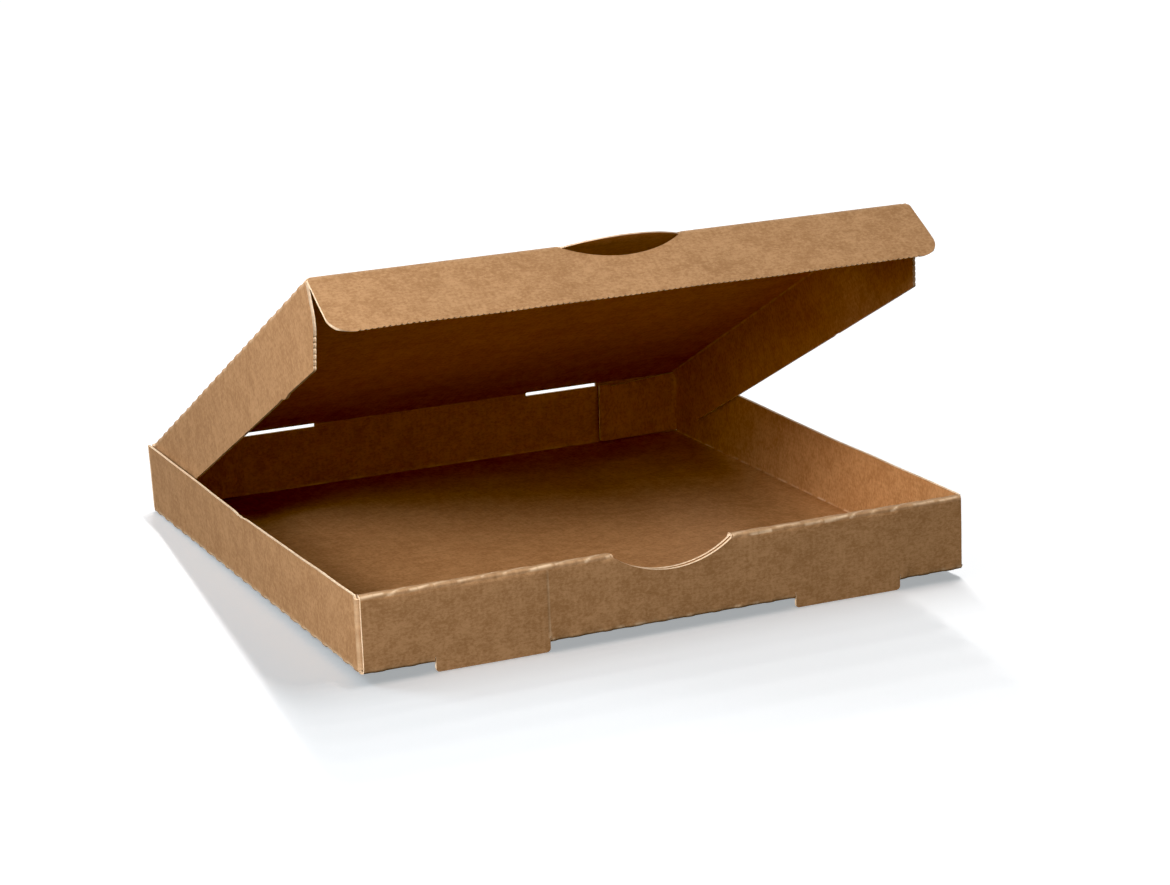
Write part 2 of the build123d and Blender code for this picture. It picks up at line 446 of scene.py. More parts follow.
# ---- materials ----------------------------------------------------------------
def kraft(name, base, dark, light, pale, sheen_rough=0.82, cut=False):
    m = bpy.data.materials.new(name)
    m.use_nodes = True
    nt = m.node_tree
    nt.nodes.clear()
    N = lambda kind, **kw: [nd := nt.nodes.new(kind), [setattr(nd, k, v) for k, v in kw.items()]][0]
    L = nt.links.new
    out = N("ShaderNodeOutputMaterial")
    bsdf = N("ShaderNodeBsdfPrincipled")
    L(bsdf.outputs[0], out.inputs[0])
    at = N("ShaderNodeAttribute", attribute_name="blank")
    wear = N("ShaderNodeAttribute", attribute_name="wear")

    def scaled(sx, sy, sz=1.0, rot=0.0):
        mp = N("ShaderNodeMapping")
        mp.inputs["Scale"].default_value = (sx, sy, sz)
        mp.inputs["Rotation"].default_value = (0, 0, rot)
        L(at.outputs["Vector"], mp.inputs["Vector"])
        return mp.outputs[0]

    def noise(vec, scale, detail=3.0, rough=0.55, distort=0.0):
        t = N("ShaderNodeTexNoise")
        t.inputs["Scale"].default_value = scale
        t.inputs["Detail"].default_value = detail
        t.inputs["Roughness"].default_value = rough
        t.inputs["Distortion"].default_value = distort
        L(vec, t.inputs["Vector"])
        return t.outputs["Fac"]

    def math_(op, a, b=None, c=None, clamp=False):
        t = N("ShaderNodeMath", operation=op, use_clamp=clamp)
        for i, x in enumerate((a, b, c)):
            if x is None:
                continue
            if isinstance(x, (int, float)):
                t.inputs[i].default_value = x
            else:
                L(x, t.inputs[i])
        return t.outputs[0]

    def span(x, a, b, c=0.0, d=1.0):
        t = N("ShaderNodeMapRange", clamp=True, interpolation_type="SMOOTHSTEP")
        L(x, t.inputs[0])
        for i, v in enumerate((a, b, c, d)):
            t.inputs[i + 1].default_value = v
        return t.outputs[0]

    def mix(fac, a, b):
        t = N("ShaderNodeMix", data_type="RGBA")
        if isinstance(fac, (int, float)):
            t.inputs[0].default_value = fac
        else:
            L(fac, t.inputs[0])
        for i, x in ((6, a), (7, b)):
            if isinstance(x, tuple):
                t.inputs[i].default_value = (*x, 1)
            else:
                L(x, t.inputs[i])
        return t.outputs[2]

    # fibres lie across the flutes; clouds and specks as in recycled kraft
    fibre = noise(scaled(0.22, 1.1), 1.0, 5.0, 0.62, 0.6)
    fibre2 = noise(scaled(0.55, 2.6, rot=0.35), 1.0, 3.0, 0.6, 0.8)
    grain = noise(scaled(0.8, 1.0), 0.62, 4.0, 0.66)
    cloud = noise(scaled(1.0, 1.25), 0.035, 4.0, 0.55)
    patch = noise(scaled(0.9, 1.0), 0.17, 3.0, 0.6, 0.4)
    sep = N("ShaderNodeSeparateXYZ")
    L(at.outputs["Vector"], sep.inputs[0])
    wave = math_("SINE", math_("MULTIPLY", sep.outputs[0], 2 * math.pi / FLUTE))
    speck_d = span(noise(scaled(0.8, 2.2, rot=0.2), 0.9, 2.0, 0.5), 0.69, 0.76)
    speck_l = span(noise(scaled(0.5, 2.4, rot=-0.25), 0.8, 2.0, 0.5), 0.68, 0.76)
    mixf = math_("ADD", math_("MULTIPLY", fibre, 0.28), math_("MULTIPLY", patch, 0.44))
    mixf = math_("ADD", mixf, math_("MULTIPLY", cloud, 0.28))
    mixf = math_("ADD", mixf, math_("MULTIPLY", math_("SUBTRACT", fibre2, 0.5), 0.20))
    mixf = math_("ADD", mixf, math_("MULTIPLY", math_("SUBTRACT", grain, 0.5), 0.62))
    mixf = math_("ADD", mixf, math_("MULTIPLY", wave, 0.012))
    tone = span(mixf, 0.33, 0.67)
    colour = mix(tone, dark, light)
    colour = mix(math_("MULTIPLY", speck_d, 0.45), colour, tuple(0.45 * x for x in dark))
    colour = mix(math_("MULTIPLY", speck_l, 0.35), colour, tuple(min(1, 1.25 * x) for x in light))
    # wear paints pale liner where folds and cuts cracked it; along the front rim it also carries a painted highlight
    w = math_("MULTIPLY", wear.outputs["Fac"], span(noise(scaled(0.6, 0.6), 1.0, 3.0, 0.6), 0.25, 0.5, 0.55, 1.0))
    colour = mix(w, colour, pale)
    L(colour, bsdf.inputs["Base Color"])
    rough = span(mixf, 0.3, 0.7, sheen_rough - 0.06, sheen_rough + 0.08)
    L(rough, bsdf.inputs["Roughness"])
    bsdf.inputs["Specular IOR Level"].default_value = 0.22
    height = math_("ADD", math_("MULTIPLY", fibre, 0.035), math_("MULTIPLY", grain, 0.02))
    height = math_("ADD", height, math_("MULTIPLY", wave, 0.010))
    height = math_("ADD", height, math_("MULTIPLY", patch, 0.05))
    bump = N("ShaderNodeBump")
    bump.inputs["Strength"].default_value = 0.55
    bump.inputs["Distance"].default_value = 0.001
    L(height, bump.inputs["Height"])
    L(bump.outputs[0], bsdf.inputs["Normal"])
    return m


PALE = (0.74, 0.55, 0.36)
outer_mat = kraft("kraft_outer_liner", (0.45, 0.26, 0.13), (0.316, 0.165, 0.072), (0.460, 0.267, 0.132), PALE)
inner_mat = kraft("kraft_inner_liner", (0.40, 0.21, 0.09), (0.376, 0.173, 0.064), (0.545, 0.280, 0.117), PALE)
cut_mat = kraft("kraft_cut_edge", (0.8, 0.64, 0.46), (0.70, 0.52, 0.34), (0.88, 0.72, 0.53), (0.86, 0.70, 0.52), 0.9)
MATS = (outer_mat, inner_mat, cut_mat)

# ---- tray: floor, walls, corner flaps, rolled front ----------------------------
AQ = RI * QUARTER
U1 = HX - T - RI                 # side fold starts, along the floor
U2 = U1 + AQ
T1 = YP - RI                     # front and back folds start
T2 = T1 + AQ
V1 = YP - 1.75 - RI              # corner flaps' upright folds start
V2 = V1 + AQ
ROOT = T1 - 1.0                  # where front and back walls join the floor's mesh
XF = U1 - 0.15


def uz(z):
    return U2 + z - T - RI


def lean(y, z, side):
    """Side walls bow out a little, more towards the top and the back."""
    up = np.clip((z - T) / (H - T), 0, 1.1) ** 1.4
    if side < 0:
        return up * (2.4 * np.cos(np.pi * y / 2 / HY) ** 2 + 0.6 * ease(60, 180, y))
    return up * (3.2 * ease(-60, 120, y) ** 1.4 * (1 - 0.72 * ease(118, 180, y)))


def tray_warp(p):
    """Board is never quite flat: the floor crowns slightly, and the walls bow."""
    x, y, z = p[:, 0], p[:, 1], p[:, 2]
    q = p.copy()
    edge = (1 - (np.clip(np.abs(x) / 176, 0, 1)) ** 2) * (1 - np.clip(np.abs(y) / 180, 0, 1) ** 2)
    low = 1 - ease(3, 12, z)
    q[:, 2] += low * edge * (1.1 + 0.5 * ripple(x, y, 11, 150))
    for side in (-1, 1):
        near = ease(100, 176, side * x)
        q[:, 0] += side * lean(y, z, side) * near
        q[:, 0] += side * near * ease(8, 30, z) * 0.22 * (1 + ripple(y, z, 21 + side, 70))
    # front wall pushed out over the hidden corner flaps, and slightly wavy
    on_foot = ease(FOOT_IN - 9, FOOT_IN, np.abs(x)) * (1 - ease(FOOT_OUT, FOOT_OUT + 9, np.abs(x)))
    front = ease(-181.0, -181.6, y) * np.maximum(ease(4, 9, z), on_foot) * (1 - ease(38.5, 40.2, z))
    q[:, 1] -= front * (0.20 * ease(72.2, 73.6, -x) * ease(4, 9, z) + 0.22 * (1 + ripple(x, z * 0.3, 31, 90)))
    back = ease(181.0, 181.6, y) * ease(4, 12, z) * (1 - ease(34, 39, z))
    q[:, 1] += back * 0.25 * (1 + ripple(x, z, 33, 120))
    return q


def fold_floor(p, n):
    au, av = np.abs(p[:, 0]), np.abs(p[:, 1])
    su, sv = np.sign(p[:, 0]), np.sign(p[:, 1])
    mid = 0.5 * (U1 + U2)
    ends = 1 - ease(172, 178, av)
    near = np.exp(-((au - mid) / 1.7) ** 2) * ends
    cut = np.where(su < 0, dashes(p[:, 1], 16.5, 0.68, 41), dashes(p[:, 1], 16.5, 0.68, 43))
    share = n / T
    nn = n * (1 - 0.10 * near) + share * near * (0.32 * (1 - cut) - 0.24 * cut)
    xz = chain(au, nn, (0, T), 0.0, 1, [("f", U1), ("b", QUARTER, RI), ("f", 1000)])
    q = np.stack([su * xz[:, 0], p[:, 1], xz[:, 1]], 1)
    flap = (av > V1) & (au >= U2 - 1e-9)
    yx = chain(av, n * (1 - 0.08 * np.exp(-((av - 0.5 * (V1 + V2)) / 1.2) ** 2)), (0, HX - T), 0.0, -1, [("f", V1), ("b", QUARTER, RI), ("f", 1000)])
    q[flap, 1] = (sv * yx[:, 0])[flap]
    q[flap, 0] = (su * yx[:, 1])[flap]
    # the back corner flaps stand off the back wall at their free ends
    out = np.clip((av - V2) / 55, 0, 1.2)
    q[:, 1] -= np.where(flap & (sv > 0), 3.0 * out ** 1.3, 0)
    return stood(tray_warp(q))


def floor_wear(p, n):
    au, av = np.abs(p[:, 0]), np.abs(p[:, 1])
    mid = 0.5 * (U1 + U2)
    cut = np.where(p[:, 0] < 0, dashes(p[:, 1], 16.5, 0.68, 41), dashes(p[:, 1], 16.5, 0.68, 43))
    inner = n < 0.5 * T
    w = np.where(inner, 0.42 * cut * (0.55 + 0.45 * ripple(p[:, 0] * 0, p[:, 1], 44, 30)) * np.exp(-((au - mid) / 0.7) ** 2), (0.35 + 0.5 * cut) * np.exp(-((au - mid) / 0.9) ** 2))
    up = np.exp(-((av - 0.5 * (V1 + V2)) / 0.55) ** 2) * (au > U2)
    return w * (av < 178) + (0.44 + 0.16 * ripple(p[:, 0], p[:, 1] * 0, 46, 13)) * up * (n > 0.8)


r_scoop = segment_radius(SCOOP_W, SCOOP_D)
z_scoop = H - SCOOP_D + r_scoop
r_moon = segment_radius(MOON_W, MOON_D)

v_end_f = V2 + (HX - T - RI) - 73.0
v_end_b = V2 + (HX - T - RI) - 120.5
top = uz(H)
right_side = rounded([
    (XF, -ROOT), (U1, -(V1 + 1.2)), (U2 - 0.03, -(V1 + 1.2)), (U2 - 0.03, -(V1 - 0.3)), (uz(2.2), -(V1 - 0.3)), (uz(2.4), -V2), (uz(2.6), -v_end_f), (uz(40.0), -v_end_f + 1.5), (uz(40.1), -V2),
    (uz(40.1), -(V1 + 0.1)), (top, -(V1 - 0.6))], {6: 3.0, 7: 4.0})
# left wall: a small bruise on the top edge; the right one is clean
right_top = [(top, -(V1 - 0.6)), (top, V1 - 0.6)]
right_back = rounded([
    (top, V1 - 0.6), (uz(42.1), V1 + 0.1), (uz(41.7), V2), (uz(40.6), V2 + 1.8), (uz(38.2), v_end_b - 9.0), (uz(39.8), v_end_b - 7.5), (uz(39.7), v_end_b - 0.5),
    (uz(2.6), v_end_b), (uz(2.4), V2), (uz(2.2), V1 - 0.3), (U2 - 0.03, V1 - 0.3), (U2 - 0.03, V1 + 1.2), (U1, V1 + 1.2), (XF, ROOT)], {7: 2.0})


def mirror(path):
    return [(-x, y) for x, y in reversed(path)]


notch = lambda a, b: [(a, -ROOT), (a, -(YP - 4.0)), (b, -(YP - 4.0)), (b, -ROOT)]
left_top_pts = [(-top, V1 - 0.6), (-top, 12.0), (-top + 0.35, 6.0), (-top + 0.95, 2.5), (-top + 0.55, -1.0), (-top + 0.9, -4.5), (-top + 0.15, -10.0), (-top, -16.0), (-top, -(V1 - 0.6))]
loop = kinds([(-XF, -ROOT)], "open")
loop += kinds(notch(-FOOT_OUT, -FOOT_IN)[:3], "cut") + kinds(notch(-FOOT_OUT, -FOOT_IN)[3:], "open")
loop += kinds(notch(FOOT_IN, FOOT_OUT)[:3], "cut") + kinds(notch(FOOT_IN, FOOT_OUT)[3:], "open")
loop += kinds(right_side[:-1], "cut") + kinds(right_top[:-1], "cut") + kinds(right_back[:-1], "cut")
loop += kinds([(XF, ROOT)], "open")
loop += kinds(mirror(right_back)[:-1], "cut") + kinds(left_top_pts[:-1], "cut") + kinds(mirror(right_side)[:-1], "cut")

tray = Board("tray_board")
bend_u = sorted(s * u for s in (-1, 1) for u in steps(U1, U2, 6))
bend_v = sorted(s * v for s in (-1, 1) for v in steps(V1, V2, 5))
along_y = np.arange(-176.0, 176.1, 1.6)
rows = [lattice(along_y, [s * (u) for u in steps(U1, U2, 6)], 1) for s in (-1, 1)]
rows += [lattice(along_y, [s * (U1 - o) for o in (0.6, 1.4, 2.6)] + [s * (U2 + o) for o in (0.6, 1.4, 2.6)], 1) for s in (-1, 1)]
up_z = np.arange(4.0, 38.0, 3.0)
rows += [lattice([sx * uz(z) for z in up_z], [sy * v for v in steps(V1, V2, 5)] + [sy * (V1 - 1.2), sy * (V2 + 1.2)], 0) for sx in (-1, 1) for sy in (-1, 1)]
tray.panel([loop], fold_floor, rows=rows, levels=((0, bend_u), (1, bend_v)), wear=floor_wear)

# front wall
L1 = ZP - RI - T - RI
T3 = T2 + L1
T4 = T3 + AQ
T5 = T4 + 2.1 - 2 * RI
T6 = T5 + AQ
FRONT = [("f", T1), ("b", QUARTER, RI), ("f", L1), ("b", QUARTER, RI), ("f", 2.1 - 2 * RI), ("b", QUARTER, RI), ("f", 1000)]
to = lambda z: T2 + z - T - RI
ti = lambda z: T6 + ZP - RI - z


def rim_cut(p):
    return dashes(p[:, 0] - 2.2 * (p[:, 1] - 0.5 * (T4 + T5)), 15.5, 0.70, 51, 1.0)


def rim_tears_and_highlight(p):
    """Thin lines along the cuts of the rim, from its front edge to its back one: torn liner and painted highlight
    together.
    """
    r = np.random.default_rng(57)
    x, t = p[:, 0], p[:, 1]
    out = np.zeros(len(p))
    at = -176.0
    while at < 176.0:
        long = r.uniform(9.5, 14.5)
        f = (x - at) / long
        a, b = T3 + r.uniform(0.0, 0.4), T6 - r.uniform(-0.1, 1.2)
        if r.uniform() < 0.5:
            b = a + r.uniform(0.0, 0.3)
        line = a + (b - a) * np.clip(f, 0, 1) ** r.uniform(0.8, 2.2)
        wide = np.where((line > T3) & (line < T4), 0.13, 0.26) * r.uniform(0.8, 1.25)
        out = np.maximum(out, r.uniform(0.55, 1.0) * np.exp(-((t - line) / wide) ** 2) * ease(-0.06, 0.06, f) * (1 - ease(0.94, 1.06, f)))
        at += long + r.uniform(1.0, 3.6)
    return out


def fold_front(p, n):
    x, t = p[:, 0], p[:, 1]
    share = n / T
    off_foot = 1 - ease(FOOT_IN - 1.2, FOOT_IN, np.abs(x)) * (1 - ease(FOOT_OUT, FOOT_OUT + 1.2, np.abs(x)))
    low = np.exp(-((t - 0.5 * (T1 + T2)) / 1.5) ** 2) * ease(ROOT + 0.05, T1, t) * off_foot
    cut = dashes(x, 16.0, 0.66, 47)
    nn = n * (1 - 0.06 * low) + share * low * (0.14 * (1 - cut) - 0.12 * cut)
    for a, b in ((T3, T4), (T5, T6)):
        nn = nn + share * 0.30 * np.sin(np.pi * np.clip((t - a) / (b - a), 0, 1)) ** 2
    rim = ease(T3 - 1.6, T3 + 0.1, t) * (1 - ease(T6 - 0.1, T6 + 1.6, t))
    rc = rim_cut(p)
    nn = nn + share * rim * (0.08 * rc - 0.12 * (1 - rc) + 0.08 * ripple(x, t, 61, 24) - 0.10 * rim_tears_and_highlight(p))
    yz = chain(t, nn, (0, T), math.pi, -1, FRONT)
    foot = (np.abs(x) > FOOT_IN + 0.2) & (np.abs(x) < FOOT_OUT - 0.2) & (t < T2)
    yz[foot, 0] = -(YP + n[foot])
    yz[foot, 1] = T + RI + (t[foot] - T2)
    q = np.stack([x, yz[:, 0], yz[:, 1]], 1)
    inner_board = ease(T6, T6 + 12, t)
    q[:, 1] += inner_board * 0.35 * (1 + ripple(x, t, 63, 80))
    return stood(tray_warp(q))


def front_wear_and_rim_highlight(p, n):
    x, t = p[:, 0], p[:, 1]
    rim = ease(T3 - 0.4, T3 + 0.2, t) * (1 - ease(T6 - 0.1, T6 + 0.6, t))
    # painted highlight: the rolled top of the rim is painted paler all along, and its streaks are partly torn liner,
    # partly painted highlight
    w = rim * 0.14 + ease(T3 - 0.9, T3, t) * (1 - ease(T6, T6 + 0.9, t)) * rim_tears_and_highlight(p)
    foot = (np.abs(x) > FOOT_IN - 0.1) & (np.abs(x) < FOOT_OUT + 0.1)
    low = np.exp(-((t - 0.5 * (T1 + T2)) / 0.8) ** 2) * ~foot
    flake = ease(0.35, 0.85, ripple(x, t * 0, 65, 11))
    w = w + low * (0.12 + 0.7 * flake)
    line = np.exp(-((np.abs(x) - 72.4) / 0.36) ** 2) * ((t > T2 + 1) & (t < T3)) * (n > 0.8)
    w = w + line * np.where(x < 0, 0.66, 0.0) * (0.6 + 0.4 * ripple(x * 0, t, 69, 16))
    return w


def half_front():
    return rounded([
        (XF, ROOT), (XF + 0.1, T1 - 0.4), (HX - 1.9, T1 + 0.1), (HX - 2.1, T2 + 0.6), (HX - 2.1, to(39.6)), (HX - 2.2, T4), (HX - 2.3, T6), (HX - 2.4, ti(1.8)),
        (135.5, ti(1.8)), (134.5, ti(0.35)), (74.5, ti(0.35)), (73.5, ti(1.8))], {})


def foot_path(a, b):
    lo, g = to(-FOOT_DROP), 0.4
    tongue = rounded([(a + g, T2 + 1.3), (a + g, lo), (b - g, lo), (b - g, T2 + 1.3)], {1: 1.6, 2: 2.2})
    return [(a, ROOT), (a, T2 + 1.3), (a + 0.2, T2 + 1.7)] + tongue + [(b - 0.2, T2 + 1.7), (b, T2 + 1.3)]


hf = half_front()
loop = kinds([(-XF, ROOT)], "open") + kinds(foot_path(-FOOT_OUT, -FOOT_IN), "cut")
loop += kinds([(-FOOT_IN, ROOT)], "open") + kinds(foot_path(FOOT_IN, FOOT_OUT), "cut")
loop += kinds([(FOOT_OUT, ROOT)], "open") + kinds(hf, "cut") + kinds(mirror(hf)[:-1], "cut")
x_rim = math.sqrt(r_scoop ** 2 - (z_scoop - ZP) ** 2)
zz = lambda x: z_scoop - math.sqrt(r_scoop ** 2 - x * x)
xs = np.linspace(-x_rim + 0.15, x_rim - 0.15, 61)
hole = [(x, to(zz(x))) for x in xs] + [(x_rim, T3 + 0.1), (x_rim + 0.4, T4), (x_rim + 0.4, T5), (x_rim, T6 - 0.1)]
hole += [(x * 0.985, ti(zz(x * 0.985) - 0.5)) for x in xs[::-1]] + [(-x_rim, T6 - 0.1), (-x_rim - 0.4, T5), (-x_rim - 0.4, T4), (-x_rim, T3 + 0.1)]
bend_t = steps(T1, T2, 6) + steps(T3, T4, 8) + steps(T5, T6, 5)
along_x = np.arange(-174.6, 174.7, 1.6)
rows = [lattice(along_x, steps(T1, T2, 6) + [T2 + 0.7, T2 + 1.5, T2 + 2.8], 0),
        lattice(np.arange(-174.8, 174.9, 1.1), steps(T3, T4, 8) + [T4 + 0.3, T4 + 0.7, T4 + 1.1] + steps(T5, T6, 5) + [T3 - 0.5, T3 - 1.1, T3 - 2.0, T6 + 0.5, T6 + 1.1, T6 + 2.2], 0),
        lattice(np.array([-76.0, -75.0, -74.0, -73.4, -72.8, -72.2, -71.5, -70.0, 70.0, 71.5, 72.2, 72.8, 73.4, 74.0, 75.0, 76.0]), np.arange(T2 + 4.5, T3 - 2.5, 3.0), 0)]
tray.panel([loop, kinds(hole, "cut")], fold_front, rows=rows, levels=((1, bend_t),), wear=front_wear_and_rim_highlight, flip_blank=(1, -1))

# back wall, up to where the lid's crease piece takes over
def fold_back(p, n):
    low = np.exp(-((p[:, 1] - 0.5 * (T1 + T2)) / 1.5) ** 2) * ease(ROOT + 0.05, T1, p[:, 1])
    yz = chain(p[:, 1], n * (1 - 0.10 * low), (0, T), 0.0, 1, [("f", T1), ("b", QUARTER, RI), ("f", 1000)])
    return stood(tray_warp(np.stack([p[:, 0], yz[:, 0], yz[:, 1]], 1)))


def back_wear(p, n):
    low = np.exp(-((p[:, 1] - 0.5 * (T1 + T2)) / 0.9) ** 2)
    return low * (0.18 + 0.4 * ease(0.2, 0.8, ripple(p[:, 0], p[:, 1] * 0, 67, 17)))


x_root = HX - T - 0.5
half_back = [(XF, ROOT), (XF + 0.1, T1 - 0.4), (HX - 0.8, T1 + 0.1), (HX - 0.5, T2 + 0.8), (HX - 0.5, to(ZP + 1.2)), (x_root + 0.25, to(ZP + 1.4)), (x_root + 0.15, to(ZP - 0.3)), (x_root, to(ZP - SEAM))]
loop = kinds([(-XF, ROOT)], "open") + kinds(half_back[:-1], "cut") + kinds([half_back[-1]], "cap")
slot_r = rounded([(SLOT_OUT, to(ZP - SEAM)), (SLOT_OUT, to(ZP - SLOT_CUT)), (SLOT_IN, to(ZP - SLOT_CUT)), (SLOT_IN, to(ZP - SEAM))], {})
loop += kinds(slot_r[:-1], "cut") + kinds([slot_r[-1]], "cap")
loop += kinds(mirror(slot_r)[:-1], "cut") + kinds([mirror(slot_r)[-1]], "cap")
loop += kinds(mirror(half_back)[:-1], "cut")
rows = [lattice(along_x, steps(T1, T2, 6) + [T2 + 0.9, T2 + 2.2], 0)]
tray.panel([loop], fold_back, rows=rows, levels=((1, steps(T1, T2, 6)),), wear=back_wear)
tray_obj = tray.build(MATS)
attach(tray_obj, "tray")
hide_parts("base_tray")

# ---- lid panel with the crease to the back wall ---------------------------------
TURN = QUARTER - LID_OPEN
tan_l = RC * math.tan(TURN / 2)
C1 = SEAM - tan_l
C2 = C1 + RC * TURN
S = lambda s: C2 + s - tan_l
LID_CHAIN = [("f", C1), ("b", TURN, RC), ("f", 1000)]


def lid_bow(x, s):
    edge = ease(0, 30, s) * (1 - ease(318, 346, s)) * (1 - ease(140, 172, np.abs(x)))
    return edge * (0.8 + 0.55 * ripple(x, s, 71, 170))


def fold_lid(p, n):
    near = np.exp(-((p[:, 1] - 0.5 * (C1 + C2)) / 1.1) ** 2)
    # the die crushed the rim of the thumb tab
    off = r_moon - np.hypot(p[:, 0], p[:, 1] - S(LID_L + MOON_D - r_moon))
    rim = ease(S(LID_L - 1), S(LID_L + 2), p[:, 1]) * np.exp(-(off / 2.2) ** 2)
    yz = chain(p[:, 1], n * (1 - 0.10 * near) * (1 - 0.62 * rim), (YP, ZP - SEAM), QUARTER, 1, LID_CHAIN)
    b = lid_bow(p[:, 0], p[:, 1] - C2)
    yz[:, 0] += b * math.sin(LID_OPEN)
    yz[:, 1] += b * math.cos(LID_OPEN)
    return stood(np.stack([p[:, 0], yz[:, 0], yz[:, 1]], 1))


def lid_wear(p, n):
    return 0.25 * np.exp(-((p[:, 1] - 0.5 * (C1 + C2)) / 0.8) ** 2) * (0.5 + 0.5 * ripple(p[:, 0], p[:, 1] * 0, 73, 20))


x_seam = LID_X - SEAM
s_a, s_b, s_f = 4.4, 346.2, LID_L - SEAM
half_lid = [(x_root, 0.0), (x_root, S(1.6)), (LID_X + 0.2, S(3.2)), (LID_X + 0.2, S(3.9)), (x_seam, S(s_a))]
front_l = [(x_seam, S(s_b)), (LID_X - 0.1, S(s_b + 0.3)), (LID_X - 0.1, S(s_f))]
x_m = MOON_W / 2 + 0.5
moon = [(x_m, S(s_f)), (x_m - 0.35, S(LID_L))]
a_m = math.asin((x_m - 0.35) / r_moon)
moon += [(r_moon * math.sin(a), S(LID_L + MOON_D - r_moon + r_moon * math.cos(a))) for a in np.linspace(a_m, -a_m, 61)][1:-1]
moon += [(-x_m + 0.35, S(LID_L)), (-x_m, S(s_f))]
slot_l = [(SLOT_OUT, 0.0), (SLOT_OUT, S(SLOT_CUT)), (SLOT_IN, S(SLOT_CUT)), (SLOT_IN, 0.0)]
slot_r = slot_l[::-1]
loop = kinds([(-x_root, 0.0)], "cap") + kinds(mirror(slot_r)[:-1], "cut") + kinds([mirror(slot_r)[-1]], "cap")
loop += kinds(slot_r[:-1], "cut") + kinds([slot_r[-1]], "cap")
loop += kinds(half_lid[:-1], "cut") + kinds([half_lid[-1]], "cap")
loop += kinds(front_l[:-1], "cut") + kinds([front_l[-1]], "cap") + kinds(moon[:-1], "cut") + kinds([moon[-1]], "cap")
loop += kinds(mirror(front_l)[:-1], "cut") + kinds([mirror(front_l)[-1]], "cap") + kinds(mirror(half_lid)[:-1], "cut")
lid = Board("lid_board")
rows = [lattice(np.arange(-172.8, 172.9, 1.8), steps(C1, C2, 6) + [C2 + 0.8, C2 + 2.0], 0)]
lid.panel([loop], fold_lid, rows=rows, levels=((1, steps(C1, C2, 6)),), wear=lid_wear, shift=(0, 2 * YP + H), flip_blank=(1, 1))
lid_obj = lid.build(MATS)
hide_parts("lid_panel")


def at(y, z):
    return tuple(stood(np.array([[0.0, y, z]]))[0])


co, si = math.cos(LID_OPEN), math.sin(LID_OPEN)
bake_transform(lid_obj)

# ---- front flap with its crease ------------------------------------------------
tan_f = RC * math.tan(FLAP_FOLD / 2)
F1 = SEAM - tan_f
F2 = F1 + RC * FLAP_FOLD
FW = lambda w: F2 + w - tan_f
FLAP_CHAIN = [("f", F1), ("b", FLAP_FOLD, RC), ("f", 1000)]
f_start = (YP - s_f * co, ZP + s_f * si)


def fold_flap(p, n):
    near = np.exp(-((p[:, 1] - 0.5 * (F1 + F2)) / 1.1) ** 2)
    # the lower cut slopes: the inner liner ends a little short
    short = 1.3 * (1 - n / T) * ease(FW(FLAP_F - 5), FW(FLAP_F - 0.8), p[:, 1])
    yz = chain(p[:, 1] - short, n * (1 - 0.12 * near), f_start, QUARTER + TURN, 1, FLAP_CHAIN)
    b = ease(4, 26, p[:, 1]) * 0.30 * ripple(p[:, 0], p[:, 1], 81, 120)
    ang = QUARTER + TURN + FLAP_FOLD
    yz[:, 0] += b * math.sin(ang)
    yz[:, 1] -= b * math.cos(ang)
    return stood(np.stack([p[:, 0], yz[:, 0], yz[:, 1]], 1))


def flap_wear(p, n):
    return 0.16 * np.exp(-((p[:, 1] - 0.5 * (F1 + F2)) / 0.8) ** 2) * (n > 0.8)


def teeth(a, b, pitch, amp, out):
    """A run from a to b nicked between the flutes: flat lands with small notches."""
    a, b, out = np.array(a, float), np.array(b, float), np.array(out, float)
    n = max(2, int(round(np.linalg.norm(b - a) / pitch)))
    r = np.random.default_rng(int(abs(a[0]) * 10) + n)
    pts = [tuple(a)]
    for k in range(n):
        for f, dep in ((0.30, 0.0), (0.46, 1.0), (0.60, 0.85), (0.76, 0.0)):
            q = a + (b - a) * (k + f + r.uniform(-0.03, 0.03)) / n
            pts.append(tuple(q + out * amp * dep * r.uniform(0.6, 1.1)))
    return pts + [tuple(b)]


x_f = LID_X + T
side_f = [(LID_X - 0.1, 0.0), (LID_X - 0.1, F1), (x_f - 0.4, FW(0.9)), (x_f, FW(2.2)), (x_f, FW(FLAP_F - FLAP_F_R))]
corner = arc(x_f - FLAP_F_R, FW(FLAP_F - FLAP_F_R), FLAP_F_R, 0, QUARTER, 22)
low_edge = teeth(corner[-1], (-corner[-1][0], corner[-1][1]), FLUTE, -1.0, (0, 1))
r_h = r_moon + 0.4
w_h = lambda x: MOON_D - r_moon + math.sqrt(r_h ** 2 - x * x)
x_h = math.sqrt(r_h ** 2 - (r_moon - MOON_D + 0.25) ** 2)
hole_f = [(-x_m - 0.4, 0.0), (-x_m - 0.2, F1)] + [(x, FW(w_h(x))) for x in np.linspace(-x_h, x_h, 61)] + [(x_m + 0.2, F1), (x_m + 0.4, 0.0)]
loop = kinds([(-LID_X + 0.1, 0.0)], "cap") + kinds(hole_f[:-1], "cut") + kinds([hole_f[-1]], "cap")
loop += kinds(side_f, "cut") + kinds(corner[1:-1], "cut") + kinds(low_edge, "cut")
loop += kinds(mirror(corner)[1:-1], "cut") + kinds(mirror(side_f)[:-1], "cut")
flap = Board("front_flap_board")
rows = [lattice(np.arange(-172.5, 172.6, 1.8), steps(F1, F2, 6) + [F2 + 0.8, F2 + 2.0], 0)]
flap.panel([loop], fold_flap, rows=rows, levels=((1, steps(F1, F2, 6)),), spacing=4.0, wear=flap_wear, shift=(0, 2 * YP + H + LID_L), flip_blank=(1, 1))
flap_obj = flap.build(MATS)
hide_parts("lid_front_flap")
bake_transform(flap_obj)

# ---- side flaps with their creases ----------------------------------------------
tan_s = RC
G1 = SEAM - tan_s
G2 = G1 + RC * QUARTER
GW = lambda w: G2 + w - tan_s
SIDE_CHAIN = [("f", G1), ("b", QUARTER, RC), ("f", 1000)]


